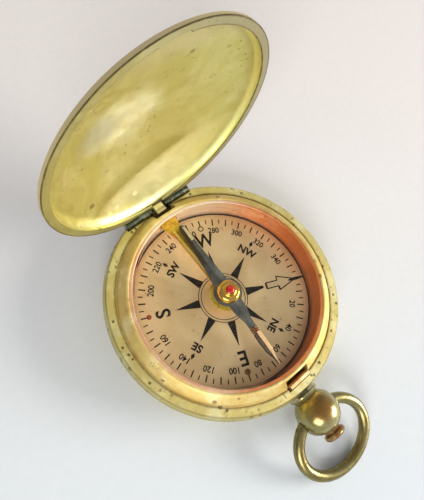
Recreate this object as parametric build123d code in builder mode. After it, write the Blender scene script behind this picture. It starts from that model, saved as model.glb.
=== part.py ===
"""Hunter-case pocket compass: a domed lid on a five-knuckle hinge, a glazed needle capsule and a
watch-style pendant with a push button and a bow.

Frame: millimetres, +Z up along the dial's normal, origin at the centre of the flat of the back,
+Y towards the hinge, -Y towards the pendant. The lid is drawn open, the way it stands on a table.
"""

from build123d import *
import os
from math import cos, radians, sin, sqrt

os.makedirs("parts", exist_ok=True)

# ---------------------------------------------------------------- driving dimensions
CASE_R = 24.0  # widest radius of the case
FLANGE_Z = 8.4  # height of the flat flange around the case
FLANGE_EDGE_R = 23.35  # outer edge of that flange
GROOVE_R = 21.75  # groove between the flange and the bezel
REST_R = 14.0  # flat of the back
SHELL_WALL = 0.8

DIAL_Z = 5.0  # printed face of the dial
DIAL_R = 18.5
DIAL_THICKNESS = 0.5
CUP_R = 19.9  # outside of the capsule cup
CUP_TOP_Z = 9.6
CUP_FLOOR_Z = 3.5
BEZEL_IN_R = 19.28
BEZEL_TOP_Z = 10.5

GLASS_TOP_Z = 12.95
GLASS_T = 0.75
GLASS_CROWN_R = 68.0

LID_R = 22.9
LID_LIP_R = 21.4  # inner edge of the lid's flat rim
LID_CROWN_R = 80.0
LID_SHOULDER_R = 20.0  # where the crown turns down to the side wall
LID_SIDE_Z = 9.35  # top of the short side wall when closed
LID_EDGE_FILLET = 0.35  # round between the dome and the side wall
LID_DISH_R, LID_DISH_Z = 21.75, 9.05  # outer end of the dish, just behind the rim
LID_LIP_Z = 9.0  # back of the flat rim's inner edge
LID_SEAT_Z = 8.55  # rim of the lid when closed
LID_TOP_Z = 13.55
LID_FLAT_R = 0.5  # tiny flat where the pressing tool's centre stood
LID_WALL = 0.45
LID_OPEN = 94.8  # degrees from closed to the stop

HINGE_Y = 22.5
HINGE_Z = FLANGE_Z
KNUCKLE_R = 0.75
HINGE_PIN_R = 0.35
HINGE_CLEAR = 0.9  # square notch cut around the barrel
KNUCKLES = {"short": (1.65, 3.05), "long": (3.1, 6.2), "end": (6.25, 7.85)}
NOTCH_HALF = 8.0

NEEDLE_AZ = 86.2  # azimuth of the needle's broad arm
NEEDLE_Z = 8.75  # underside of the blade
NEEDLE_T = 0.35
NEEDLE_HUB_R = 2.85
POST_R = 0.45
POST_TIP_Z = 10.3
CAP_R = 2.35
JEWEL_R = 0.8
JEWEL_TOP_Z = 11.35
JEWEL_CROWN_R = 1.2

LEVER_X = 0.25  # the lifter lies slightly off the centre line
LEVER_Z = 7.1
LEVER_RING_R = 3.4  # outside of the ring round the post
LEVER_PIN_Y = 20.9
LEVER_PIN_Z = 7.6
LEVER_PIN_R = 0.3
SLOT_HALF = 2.45  # half width of the lever slot through the rim

PENDANT_Z = 5.6  # height of the pendant's axis
BALL_Y = -28.7
BALL_R = 4.4
NECK_FACE_Y = -24.25
BUTTON_ROD_R = 0.8
TUBE_R = 1.35  # tube that joins the pendant to the case
BORE_R = 1.9  # room for the button's spring inside the ball
CATCH_HALF = 2.45
CATCH_NOTCH_HALF = 2.7  # cut in the lid's rim that lets the nose through

WIRE_R = 1.12  # bow wire
BOW_HALF_X = 8.25  # bow centreline, half width
BOW_HALF_REACH = 6.85  # bow centreline, half length
BOW_CENTRE = 6.1  # bow centre ahead of its pivots
BOW_DROOP = 19.9  # degrees below level, far end on the table
BOW_PIN_R = 0.5
FIT = 0.05  # running clearance on a radius


# ---------------------------------------------------------------- helpers
def finish(part, label):
    """Labels a finished piece and writes it."""
    part.label = label
    export_step(part, f"parts/{label}.step")


def hinge_axis_plane(x):
    """Plane across the hinge axis at x, its normal along +X."""
    return Plane(origin=(x, HINGE_Y, HINGE_Z), x_dir=(0, 1, 0), z_dir=(1, 0, 0))


def opened(part):
    """Turns a lid piece from where it lies closed to where it stands open."""
    return part.rotate(Axis((0, HINGE_Y, HINGE_Z), (1, 0, 0)), -LID_OPEN)


def box(x0, x1, y0, y1, z0, z1):
    """Box between two corners, for cutting."""
    block = Box(x1 - x0, y1 - y0, z1 - z0, mode=Mode.PRIVATE)
    return Pos((x0 + x1) / 2, (y0 + y1) / 2, (z0 + z1) / 2) * block


def crown_arc(r_from, z_from, r_to, z_to, crown_r):
    """Arc between two points of a dome, its centre on the Z axis and its radius crown_r."""
    z_centre = (z_from if r_from == 0 else z_to) - crown_r
    r_mid = (r_from + r_to) / 2
    return ThreePointArc((r_from, z_from), (r_mid, z_centre + sqrt(crown_r**2 - r_mid**2)), (r_to, z_to))


def crown_drop(crown_r, r):
    """How far a dome of radius crown_r falls from its top out to radius r."""
    return crown_r - sqrt(crown_r**2 - r**2)


def radial_pin(azimuth, z, r_from, r_to, radius):
    """Round bar pointing straight out from the case's axis."""
    direction = Vector(cos(radians(azimuth)), sin(radians(azimuth)), 0)
    middle = direction * ((r_from + r_to) / 2) + Vector(0, 0, z)
    return Plane(origin=middle, z_dir=direction) * Cylinder(radius, r_to - r_from, mode=Mode.PRIVATE)


LEVER_SLOT = box(LEVER_X - SLOT_HALF, LEVER_X + SLOT_HALF, 19.95, 23.12, 6.5, 12.0)
HINGE_NOTCH = box(-NOTCH_HALF, NOTCH_HALF, 21.45, 26.0, 7.5, 12.0)
CATCH_SLOT = box(-CATCH_HALF - 0.35, CATCH_HALF + 0.35, -22.15, -19.95, 6.5, 12.0)

SPRING_R = 22.3  # outside of the two leaf springs along the rim
SPRING_T = 0.3
CATCH_SPAN = 42.0  # degrees each side of the pendant
CATCH_SCREWS = (-90 - CATCH_SPAN + 4, -90 + CATCH_SPAN - 4)
CATCH_SCREW_Z = 5.5
LID_SPRING_FROM, LID_SPRING_TO = 100.0, 150.0
LID_SCREW = LID_SPRING_TO - 4
LID_SCREW_Z = 5.3
SCREW_R = 0.35

# ---------------------------------------------------------------- case shell
# Spun brass: flat back, rounded side, flat flange turned inwards with a seat for the bezel.
with BuildPart() as case_shell:
    with BuildSketch(Plane.XZ):
        with BuildLine():
            Line((0, 0), (REST_R, 0))
            ThreePointArc((REST_R, 0), (20.9, 1.7), (23.85, 5.6))
            ThreePointArc((23.85, 5.6), (CASE_R, 6.6), (23.7, 7.8))
            Line((23.7, 7.8), (FLANGE_EDGE_R, FLANGE_Z))
            Line((FLANGE_EDGE_R, FLANGE_Z), (GROOVE_R, FLANGE_Z))
            Line((GROOVE_R, FLANGE_Z), (GROOVE_R, 7.9))
            Line((GROOVE_R, 7.9), (20.25, 7.9))
            Line((20.25, 7.9), (20.25, 6.9))
            Line((20.25, 6.9), (23.05, 6.9))
            Line((23.05, 6.9), (23.05, 5.7))
            ThreePointArc((23.05, 5.7), (20.4, 2.45), (REST_R, SHELL_WALL))
            Line((REST_R, SHELL_WALL), (0, SHELL_WALL))
            Line((0, SHELL_WALL), (0, 0))
        make_face()
    revolve(axis=Axis.Z)
    add(LEVER_SLOT, mode=Mode.SUBTRACT)
    add(HINGE_NOTCH, mode=Mode.SUBTRACT)
    add(CATCH_SLOT, mode=Mode.SUBTRACT)
    with BuildSketch(Plane.XZ.offset(22.0)):  # hole for the pendant's tube
        with Locations((0, PENDANT_Z)):
            Circle(TUBE_R + 0.01)
    extrude(amount=4, mode=Mode.SUBTRACT)
    for azimuth in CATCH_SCREWS:
        add(radial_pin(azimuth, CATCH_SCREW_Z, 22.0, 23.4, SCREW_R + 0.01), mode=Mode.SUBTRACT)
    add(radial_pin(LID_SCREW, LID_SCREW_Z, 22.0, 23.4, SCREW_R + 0.01), mode=Mode.SUBTRACT)
    with BuildSketch(Plane.YZ.offset(LEVER_X - 3.7)):  # bore for the lever's pin
        with Locations((LEVER_PIN_Y, LEVER_PIN_Z)):
            Circle(LEVER_PIN_R + 0.01)
    extrude(amount=7.4, mode=Mode.SUBTRACT)
finish(case_shell.part, "case_shell")

# Ring that holds the capsule off the back.
with BuildPart() as base_spacer:
    with BuildSketch(Plane.XY.offset(SHELL_WALL)):
        Circle(13.5)
        Circle(10.5, mode=Mode.SUBTRACT)
    extrude(amount=2.1)
finish(base_spacer.part, "base_spacer")

# ---------------------------------------------------------------- capsule
# Copper-coloured cup: the wall flares slightly and ends in a small bead under the glass.
with BuildPart() as capsule_cup:
    with BuildSketch(Plane.XZ):
        with BuildLine():
            Polyline(
                (1.75, 2.9), (CUP_R, 2.9), (CUP_R, CUP_TOP_Z), (18.95, CUP_TOP_Z), (18.85, 9.35),
                (19.0, 9.1), (18.62, 5.3), (18.62, CUP_FLOOR_Z), (1.75, CUP_FLOOR_Z), (1.75, 2.9),
            )
        make_face()
    revolve(axis=Axis.Z)
    add(box(LEVER_X - 2.2, LEVER_X + 2.2, 16.0, 21.0, 6.2, 8.0), mode=Mode.SUBTRACT)
finish(capsule_cup.part, "capsule_cup")

# Ring under the dial's edge.
with BuildPart() as dial_spacer:
    with BuildSketch(Plane.XY.offset(CUP_FLOOR_Z)):
        Circle(DIAL_R)
        Circle(16.2, mode=Mode.SUBTRACT)
    extrude(amount=DIAL_Z - DIAL_THICKNESS - CUP_FLOOR_Z)
finish(dial_spacer.part, "dial_spacer")

with BuildPart() as dial_plate:
    with BuildSketch(Plane.XY.offset(DIAL_Z - DIAL_THICKNESS)):
        Circle(DIAL_R)
        Circle(1.7, mode=Mode.SUBTRACT)
    extrude(amount=DIAL_THICKNESS)
finish(dial_plate.part, "dial_plate")

# Turned boss riveted to the back, carrying the needle's post.
with BuildPart() as pivot_boss:
    with BuildSketch(Plane.XZ):
        with BuildLine():
            Polyline(
                (POST_R + 0.01, 1.2), (3.2, 1.2), (3.2, 2.6), (1.6, 2.6), (1.6, 5.25),
                (1.2, 5.6), (POST_R + 0.01, 5.6), (POST_R + 0.01, 1.2),
            )
        make_face()
    revolve(axis=Axis.Z)
finish(pivot_boss.part, "pivot_boss")

with BuildPart() as boss_base_plate:
    with BuildSketch(Plane.XY.offset(SHELL_WALL)):
        Circle(5.0)
    extrude(amount=0.4)
    fillet(boss_base_plate.edges().group_by(Axis.Z)[-1], 0.15)
finish(boss_base_plate.part, "boss_base_plate")

with BuildPart() as pivot_post:
    with BuildSketch(Plane.XZ):
        with BuildLine():
            Polyline((0, 1.2), (POST_R, 1.2), (POST_R, 9.6), (0.06, POST_TIP_Z), (0, POST_TIP_Z), (0, 1.2))
        make_face()
    revolve(axis=Axis.Z)
finish(pivot_post.part, "pivot_post")

# ---------------------------------------------------------------- glass and bezel
with BuildPart() as crystal:
    with BuildSketch(Plane.XZ):
        with BuildLine():
            edge_top = GLASS_TOP_Z - crown_drop(GLASS_CROWN_R, 18.6)
            inner_z = GLASS_TOP_Z - GLASS_T - crown_drop(GLASS_CROWN_R - GLASS_T, 18.2)
            Line((0, GLASS_TOP_Z - GLASS_T), (0, GLASS_TOP_Z))
            crown_arc(0, GLASS_TOP_Z, 18.6, edge_top, GLASS_CROWN_R)
            Polyline((18.6, edge_top), (18.66, 10.1), (19.15, 10.1), (19.15, 9.63), (18.3, 9.63), (18.2, inner_z))
            crown_arc(18.2, inner_z, 0, GLASS_TOP_Z - GLASS_T, GLASS_CROWN_R - GLASS_T)
        make_face()
    revolve(axis=Axis.Z)
finish(crystal.part, "crystal")

with BuildPart() as crystal_ring:
    with BuildSketch(Plane.XY.offset(10.12)):
        Circle(BEZEL_IN_R - 0.02)
        Circle(18.68, mode=Mode.SUBTRACT)
    extrude(amount=0.3)
    fillet(crystal_ring.edges().group_by(Axis.Z)[-1], 0.08)
finish(crystal_ring.part, "crystal_ring")

# Raised ring between the glass and the flange, open at the lever and at the catch.
with BuildPart() as bezel_ring:
    with BuildSketch(Plane.XZ):
        with BuildLine():
            Polyline((BEZEL_IN_R, 9.65), (20.0, 9.65), (20.0, 7.92), (21.7, 7.92), (21.7, 8.12), (21.42, 8.2))
            Spline((21.42, 8.2), (21.3, 8.8), (20.6, 9.68), (19.85, 10.4), tangents=((0, 1), (-1.2, 1)))
            ThreePointArc((19.85, 10.4), (19.55, BEZEL_TOP_Z), (BEZEL_IN_R, 10.42))
            Line((BEZEL_IN_R, 10.42), (BEZEL_IN_R, 9.65))
        make_face()
    revolve(axis=Axis.Z)
    add(LEVER_SLOT, mode=Mode.SUBTRACT)
    add(CATCH_SLOT, mode=Mode.SUBTRACT)
finish(bezel_ring.part, "bezel_ring")

# ---------------------------------------------------------------- needle
NEEDLE_PLANE = Plane(origin=(0, 0, NEEDLE_Z), x_dir=(cos(radians(NEEDLE_AZ)), sin(radians(NEEDLE_AZ)), 0))
NECK_FROM, NECK_TO = -8.25, -9.65

with BuildPart() as needle_blade:
    with BuildSketch(NEEDLE_PLANE):
        with BuildLine():
            Polyline(
                (2.4, 1.5), (6.5, 1.1), (10.3, 0.9), (15.7, 0.72), (16.4, 0.35), (16.4, -0.35),
                (15.7, -0.72), (10.3, -0.9), (6.5, -1.1), (2.4, -1.5), (2.4, 1.5),
            )
        make_face()
        with BuildLine():
            Polyline(
                (-2.2, 1.45), (-4.2, 1.35), (-6.6, 0.78), (NECK_FROM, 0.7), (NECK_FROM, 0.45),
                (NECK_TO, 0.45), (NECK_TO, 0.8), (-11.3, 0.85), (-13.6, 0.72), (-15.5, 0.2),
                (-16.7, 0.12), (-16.7, -0.12), (-15.3, -0.35), (-13.6, -0.72), (-11.3, -0.85),
                (NECK_TO, -0.8), (NECK_TO, -0.45), (NECK_FROM, -0.45), (NECK_FROM, -0.7),
                (-6.6, -0.78), (-4.2, -1.35), (-2.2, -1.45), (-2.2, 1.45),
            )
        make_face()
        Circle(NEEDLE_HUB_R)
        Circle(1.05, mode=Mode.SUBTRACT)
    extrude(amount=NEEDLE_T)
finish(needle_blade.part, "needle_blade")

# Pale strips laid into one half of each arm's end.
with BuildPart() as needle_inlays:
    with BuildSketch(NEEDLE_PLANE.offset(NEEDLE_T)):
        with BuildLine():
            Polyline((12.6, -0.08), (15.9, -0.08), (15.7, -0.6), (12.6, -0.72), (12.6, -0.08))
        make_face()
        with BuildLine():
            Polyline((-9.8, 0.08), (-14.9, 0.08), (-13.6, 0.62), (-11.3, 0.75), (-9.8, 0.72), (-9.8, 0.08))
        make_face()
    extrude(amount=0.08)
finish(needle_inlays.part, "needle_inlays")

# Copper wire wound on the neck to balance the dip.
with BuildPart() as balance_wire:
    for turn in range(3):
        centre = NEEDLE_PLANE.from_local_coords(Vector(-8.5 - 0.42 * turn, 0, NEEDLE_T / 2))
        with Locations(Plane(origin=centre, z_dir=NEEDLE_PLANE.x_dir)):
            Torus(0.68, 0.17)
finish(balance_wire.part, "balance_wire")

with BuildPart() as needle_cap:
    with BuildSketch(Plane.XZ):
        with BuildLine():
            Polyline((0.65, 8.4), (1.0, 8.4), (1.0, 9.15), (CAP_R, 9.15), (CAP_R, 9.5))
            ThreePointArc((CAP_R, 9.5), (2.1, 10.1), (1.45, 10.35))
            ThreePointArc((1.45, 10.35), (1.2, 10.5), (1.15, 10.8))
            ThreePointArc((1.15, 10.8), (1.0, 11.0), (JEWEL_R + 0.02, 10.95))
            Polyline((JEWEL_R + 0.02, 10.95), (JEWEL_R + 0.02, 9.75), (0.65, 9.75), (0.65, 8.4))
        make_face()
    revolve(axis=Axis.Z)
finish(needle_cap.part, "needle_cap")

with BuildPart() as cap_jewel:
    with BuildSketch(Plane.XZ):
        with BuildLine():
            jewel_edge_z = JEWEL_TOP_Z - crown_drop(JEWEL_CROWN_R, JEWEL_R)
            Polyline((0, 10.38), (0.6, 9.78), (JEWEL_R, 9.78), (JEWEL_R, jewel_edge_z))
            crown_arc(JEWEL_R, jewel_edge_z, 0, JEWEL_TOP_Z, JEWEL_CROWN_R)
            Line((0, JEWEL_TOP_Z), (0, 10.38))
        make_face()
    revolve(axis=Axis.Z)
finish(cap_jewel.part, "cap_jewel")

# ---------------------------------------------------------------- needle lifter
# Loose washer on the post, between the lever's ring and the needle's cap.
with BuildPart() as lift_washer:
    with BuildSketch(Plane.XY.offset(7.8)):
        Circle(2.3)
        Circle(POST_R + FIT, mode=Mode.SUBTRACT)
    extrude(amount=0.2)
finish(lift_washer.part, "lift_washer")

# Channel-shaped lever: ring around the post, arm with raised edges, flared foot, barrel and tail.
ARM_X = 0.1
with BuildPart() as lifter_lever:
    with BuildSketch(Plane.XY.offset(LEVER_Z)):
        with BuildLine():
            Polyline(
                (ARM_X - 0.75, 2.0), (ARM_X - 0.75, 14.8), (LEVER_X - 1.75, 17.9), (LEVER_X - 1.75, 19.2),
                (LEVER_X - 1.1, 20.2), (LEVER_X - 1.1, 23.0), (LEVER_X + 1.1, 23.0), (LEVER_X + 1.1, 20.2),
                (LEVER_X + 1.75, 19.2), (LEVER_X + 1.75, 17.9), (ARM_X + 0.75, 14.8), (ARM_X + 0.75, 2.0),
                (ARM_X - 0.75, 2.0),
            )
        make_face()
        Circle(LEVER_RING_R)
        Circle(1.5, mode=Mode.SUBTRACT)
    extrude(amount=0.3)
    for side in (-1, 1):
        x_mid = ARM_X + side * 0.62
        add(box(x_mid - 0.13, x_mid + 0.13, 2.75, 16.0, LEVER_Z + 0.2, LEVER_Z + 0.55))
    with BuildSketch(Plane.YZ.offset(LEVER_X - 2.2)):
        with Locations((LEVER_PIN_Y, LEVER_PIN_Z)):
            Circle(0.62)
    extrude(amount=4.4)
    with BuildSketch(Plane.YZ.offset(LEVER_X - 2.3)):
        with Locations((LEVER_PIN_Y, LEVER_PIN_Z)):
            Circle(LEVER_PIN_R + FIT)
    extrude(amount=4.6, mode=Mode.SUBTRACT)
finish(lifter_lever.part, "lifter_lever")

with BuildPart() as lifter_pin:
    with BuildSketch(Plane.YZ.offset(LEVER_X - 3.6)):
        with Locations((LEVER_PIN_Y, LEVER_PIN_Z)):
            Circle(LEVER_PIN_R)
    extrude(amount=7.2)
finish(lifter_pin.part, "lifter_pin")

# Block on the lever's tail, in the gap at the middle of the hinge, where the closing lid meets it.
with BuildPart() as lifter_block:
    with BuildSketch(Plane.YZ.offset(LEVER_X - 1.1)):
        with BuildLine():
            Polyline((21.56, 7.4), (23.0, 7.4), (23.0, 8.9), (21.1, 8.9), (21.1, 8.3), (21.56, 8.3), (21.56, 7.4))
        make_face()
    extrude(amount=2.2)
    fillet(lifter_block.edges().group_by(Axis.Z)[-1], 0.18)
finish(lifter_block.part, "lifter_block")

# Leaf spring that holds the tail up. Its leg stands against the capsule's wall.
with BuildPart() as lifter_spring:
    with BuildSketch(Plane.YZ.offset(LEVER_X - 0.7)):
        with BuildLine():
            Polyline(
                (20.0, 4.0), (20.15, 4.0), (20.15, 6.3), (22.45, 6.85), (22.42, 7.0), (20.0, 6.42), (20.0, 4.0)
            )
        make_face()
    extrude(amount=1.4)
finish(lifter_spring.part, "lifter_spring")

# ---------------------------------------------------------------- hinge
def knuckles(names, rises):
    """Both knuckles of each named place, with a leaf that falls to the case or rises to the lid."""
    with BuildPart() as pair:
        for name in names:
            inner, outer = KNUCKLES[name]
            for x0 in (inner, -outer):
                with BuildSketch(hinge_axis_plane(x0)):
                    Circle(KNUCKLE_R)
                    leaf_to = HINGE_CLEAR if rises else 7.5 - HINGE_Z
                    with BuildLine():
                        Polyline((-KNUCKLE_R, 0), (-KNUCKLE_R, leaf_to), (0, leaf_to), (0, 0), (-KNUCKLE_R, 0))
                    make_face()
                    Circle(HINGE_PIN_R + (FIT if rises else 0.01), mode=Mode.SUBTRACT)
                extrude(amount=outer - inner)
    return pair.part


finish(knuckles(("short", "end"), rises=False), "case_knuckles")
finish(opened(knuckles(("long",), rises=True)), "lid_knuckles")

with BuildPart() as hinge_pins:
    for x_start in (KNUCKLES["short"][0], -KNUCKLES["end"][1]):
        with BuildSketch(hinge_axis_plane(x_start)):
            Circle(HINGE_PIN_R)
        extrude(amount=KNUCKLES["end"][1] - KNUCKLES["short"][0])
finish(hinge_pins.part, "hinge_pins")

# ---------------------------------------------------------------- lid
# Pressed brass cover: flat rim, a dark undercut just inside it, then one even dish.
def lid_shoulder(crown_r, top_z, side_r, side_z):
    """Crown arc from the apex, then one arc that leaves it smoothly and meets the side wall."""
    shoulder_z = top_z - crown_drop(crown_r, LID_SHOULDER_R)
    fall = LID_SHOULDER_R / sqrt(crown_r**2 - LID_SHOULDER_R**2)
    crown_arc(LID_SHOULDER_R, shoulder_z, LID_FLAT_R, top_z, crown_r)
    TangentArc((LID_SHOULDER_R, shoulder_z), (side_r, side_z), tangent=(1, -fall))


with BuildPart() as lid_closed:
    with BuildSketch(Plane.XZ):
        with BuildLine():
            lid_shoulder(LID_CROWN_R, LID_TOP_Z, LID_R, LID_SIDE_Z)
            Polyline(
                (LID_R, LID_SIDE_Z), (LID_R, LID_SEAT_Z), (0, LID_SEAT_Z), (0, LID_TOP_Z), (LID_FLAT_R, LID_TOP_Z),
            )
        outside = make_face()
        fillet(outside.vertices().filter_by(lambda v: v.X > LID_R - 0.1 and v.Z > 9), LID_EDGE_FILLET)
    revolve(axis=Axis.Z)
    with BuildSketch(Plane.XZ):
        with BuildLine():
            inside_top_z = LID_TOP_Z - LID_WALL
            lid_shoulder(LID_CROWN_R - LID_WALL, inside_top_z, LID_DISH_R, LID_DISH_Z)
            Polyline(
                (LID_DISH_R, LID_DISH_Z), (LID_LIP_R, LID_LIP_Z), (LID_LIP_R, LID_SEAT_Z), (0, LID_SEAT_Z),
                (0, inside_top_z), (LID_FLAT_R, inside_top_z),
            )
        make_face()
    revolve(axis=Axis.Z, mode=Mode.SUBTRACT)
    add(box(-NOTCH_HALF, NOTCH_HALF, 21.55, 26.0, 8.0, HINGE_Z + HINGE_CLEAR), mode=Mode.SUBTRACT)
    add(box(LEVER_X - 1.3, LEVER_X + 1.3, 20.5, 21.7, 8.0, 9.05), mode=Mode.SUBTRACT)
    add(box(-CATCH_NOTCH_HALF, CATCH_NOTCH_HALF, -21.6, -20.5, 8.0, LID_DISH_Z), mode=Mode.SUBTRACT)
    # Pocket behind the rim for the nose's hook.
    add(box(-CATCH_NOTCH_HALF, CATCH_NOTCH_HALF, -22.1, -20.5, LID_LIP_Z, 9.75), mode=Mode.SUBTRACT)
finish(opened(lid_closed.part), "lid_shell")

# ---------------------------------------------------------------- catch and rim springs
def rim_leaf(start, end, z_from, z_to, screws):
    """Curved leaf spring along the inside of the rim, with a hole at each screw's azimuth."""
    with BuildPart() as leaf:
        with BuildSketch(Plane.XY.offset(z_from)):
            with BuildLine():
                outer = CenterArc((0, 0), SPRING_R, start, end - start)
                inner = CenterArc((0, 0), SPRING_R - SPRING_T, start, end - start)
                Line(outer @ 0, inner @ 0)
                Line(outer @ 1, inner @ 1)
            make_face()
        extrude(amount=z_to - z_from)
        for azimuth in screws:
            hole = radial_pin(azimuth, (z_from + z_to) / 2, 21.5, 23.0, SCREW_R + 0.03)
            add(hole, mode=Mode.SUBTRACT)
    return leaf.part


def rim_screw(azimuth, z):
    """Slotted screw pointing outwards through a leaf spring into the side of the case."""
    face_r = SPRING_R - SPRING_T - 0.02
    direction = Vector(cos(radians(azimuth)), sin(radians(azimuth)), 0)
    slot_plane = Plane(origin=direction * (face_r - 0.6) + Vector(0, 0, z), z_dir=direction)
    with BuildPart() as screw:
        add(radial_pin(azimuth, z, face_r - 0.6, face_r, 0.75))
        add(radial_pin(azimuth, z, face_r - 0.1, 23.35, SCREW_R))
        with BuildSketch(slot_plane):
            Rectangle(1.8, 0.22)
        extrude(amount=0.25, mode=Mode.SUBTRACT)
    return screw.part


finish(rim_leaf(-90 - CATCH_SPAN, -90 + CATCH_SPAN, 4.6, 6.4, CATCH_SCREWS), "catch_spring")
finish(rim_leaf(LID_SPRING_FROM, LID_SPRING_TO, 4.6, 6.0, (LID_SCREW,)), "lid_spring")
finish(Part(children=[rim_screw(azimuth, CATCH_SCREW_Z) for azimuth in CATCH_SCREWS]), "catch_spring_screws")
finish(rim_screw(LID_SCREW, LID_SCREW_Z), "lid_spring_screw")

# Hooked nose on the catch spring that reaches over the inner edge of the lid's rim.
with BuildPart() as catch_nose:
    with BuildSketch(Plane.YZ.offset(-CATCH_HALF)):
        with BuildLine():
            Polyline(
                (-21.7, 4.7), (-21.3, 4.7), (-20.9, 7.2), (-20.9, 9.2), (-21.2, 9.62), (-21.8, 9.42),
                (-21.8, 9.3), (-21.4, 9.15), (-21.4, 7.6), (-21.7, 6.6), (-21.7, 4.7),
            )
        make_face()
    extrude(amount=2 * CATCH_HALF)
finish(catch_nose.part, "catch_nose")

# ---------------------------------------------------------------- pendant
PENDANT_PLANE = Plane(origin=(0, 0, PENDANT_Z), x_dir=(1, 0, 0), z_dir=(0, 0, 1))
PENDANT_AXIS = Axis((0, 0, PENDANT_Z), (0, 1, 0))
MOUTH_Y = BALL_Y - sqrt(BALL_R**2 - 2.5**2)  # plane where the ball is cut off around the button
NECK_END_Y = BALL_Y + sqrt(BALL_R**2 - 2.4**2)  # where the neck runs into the ball
CAVITY_Y = -26.6

with BuildPart() as pendant_tube:
    with BuildSketch(Plane(origin=(0, -22.75, PENDANT_Z), x_dir=(1, 0, 0), z_dir=(0, -1, 0))):
        Circle(TUBE_R)
        Circle(BUTTON_ROD_R + 0.1, mode=Mode.SUBTRACT)
    extrude(amount=3.6)
finish(pendant_tube.part, "pendant_tube")

with BuildPart() as pendant_ball:
    with BuildSketch(PENDANT_PLANE):
        with BuildLine():
            Polyline(
                (2.4, NECK_END_Y), (2.6, NECK_FACE_Y - 0.9), (3.1, NECK_FACE_Y - 0.3), (3.1, NECK_FACE_Y),
                (TUBE_R + 0.01, NECK_FACE_Y), (TUBE_R + 0.01, CAVITY_Y), (BORE_R, CAVITY_Y),
                (BORE_R, MOUTH_Y), (2.5, MOUTH_Y),
            )
            ThreePointArc((2.5, MOUTH_Y), (BALL_R, BALL_Y), (2.4, NECK_END_Y))
        make_face()
    revolve(axis=PENDANT_AXIS)
    with BuildSketch(Plane.YZ.offset(-5)):
        with Locations((BALL_Y, PENDANT_Z)):
            Circle(BOW_PIN_R + FIT)
    extrude(amount=10, mode=Mode.SUBTRACT)
finish(pendant_ball.part, "pendant_ball")

# Push button: rod through to the catch, collar for the spring, flared head.
with BuildPart() as push_button:
    with BuildSketch(PENDANT_PLANE):
        with BuildLine():
            Polyline(
                (0, -22.36), (BUTTON_ROD_R, -22.36), (BUTTON_ROD_R, -31.2), (BORE_R - 0.08, -31.2),
                (BORE_R - 0.08, -32.4), (1.6, -32.6), (1.65, -32.95), (2.2, -33.35), (2.28, -33.8),
            )
            ThreePointArc((2.28, -33.8), (2.0, -34.25), (1.4, -34.4))
            Line((1.4, -34.4), (0, -34.4))
            Line((0, -34.4), (0, -22.36))
        make_face()
    revolve(axis=PENDANT_AXIS)
finish(push_button.part, "push_button")

# Coil spring around the rod, from the cavity's floor to the button's collar.
SPRING_WIRE_R = 0.18
COIL_R = 1.38
with BuildPart() as button_spring:
    with BuildLine() as coil:
        Helix(0.8, 4.0, COIL_R, center=(0, CAVITY_Y - 0.25, PENDANT_Z), direction=(0, -1, 0))
    with BuildSketch(Plane(origin=coil.line @ 0, z_dir=coil.line % 0)):
        Circle(SPRING_WIRE_R)
    sweep(path=coil.line)
finish(button_spring.part, "button_spring")

# ---------------------------------------------------------------- bow
# Oval wire ring. Each end is hollowed to the ball and carries a short pin on the bow's axis.
DROOP = radians(BOW_DROOP)
BOW_PLANE = Plane(
    origin=(0, BALL_Y, PENDANT_Z), x_dir=(1, 0, 0), z_dir=(0, -sin(DROOP), cos(DROOP))
)
END_ANGLE = 62.0  # how far past its widest points the oval runs on towards the ball
with BuildPart() as bow:
    with BuildLine(BOW_PLANE) as bow_line:
        EllipticalCenterArc(
            (0, -BOW_CENTRE), BOW_HALF_X, BOW_HALF_REACH,
            start_angle=180 - END_ANGLE, arc_size=180 + 2 * END_ANGLE,
        )
    start_plane = Plane(origin=bow_line.line @ 0, z_dir=bow_line.line % 0)
    with BuildSketch(start_plane):
        Circle(WIRE_R)
    sweep(path=bow_line.line)
    with Locations((0, BALL_Y, PENDANT_Z)):
        Sphere(BALL_R + 0.12, mode=Mode.SUBTRACT)
    for side in (-1, 1):
        with BuildSketch(Plane.YZ.offset(side * 2.15)):
            with Locations((BALL_Y, PENDANT_Z)):
                Circle(BOW_PIN_R)
        extrude(amount=side * 2.9)
finish(bow.part, "bow")
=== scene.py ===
from math import cos, pi, radians, sin

import bmesh
import bpy
from mathutils import Matrix, Vector


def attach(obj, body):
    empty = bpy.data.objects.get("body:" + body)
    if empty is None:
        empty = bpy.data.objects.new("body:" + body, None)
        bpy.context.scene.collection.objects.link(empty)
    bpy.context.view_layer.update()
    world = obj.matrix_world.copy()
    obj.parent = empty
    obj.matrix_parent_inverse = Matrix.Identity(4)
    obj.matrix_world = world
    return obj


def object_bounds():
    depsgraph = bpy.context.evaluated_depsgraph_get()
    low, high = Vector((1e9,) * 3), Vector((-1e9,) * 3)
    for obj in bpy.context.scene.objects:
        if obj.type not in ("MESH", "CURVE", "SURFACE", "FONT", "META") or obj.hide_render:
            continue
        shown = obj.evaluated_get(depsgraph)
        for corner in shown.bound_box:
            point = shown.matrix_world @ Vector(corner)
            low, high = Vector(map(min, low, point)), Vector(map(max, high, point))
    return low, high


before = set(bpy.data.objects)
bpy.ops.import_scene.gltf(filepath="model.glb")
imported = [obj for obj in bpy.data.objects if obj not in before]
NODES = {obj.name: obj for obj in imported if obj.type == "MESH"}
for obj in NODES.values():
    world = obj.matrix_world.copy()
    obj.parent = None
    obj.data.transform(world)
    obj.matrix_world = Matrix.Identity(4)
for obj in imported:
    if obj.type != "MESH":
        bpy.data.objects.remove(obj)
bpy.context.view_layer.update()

MM = 0.001
scene = bpy.context.scene
scene.view_settings.view_transform = "Standard"


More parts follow.
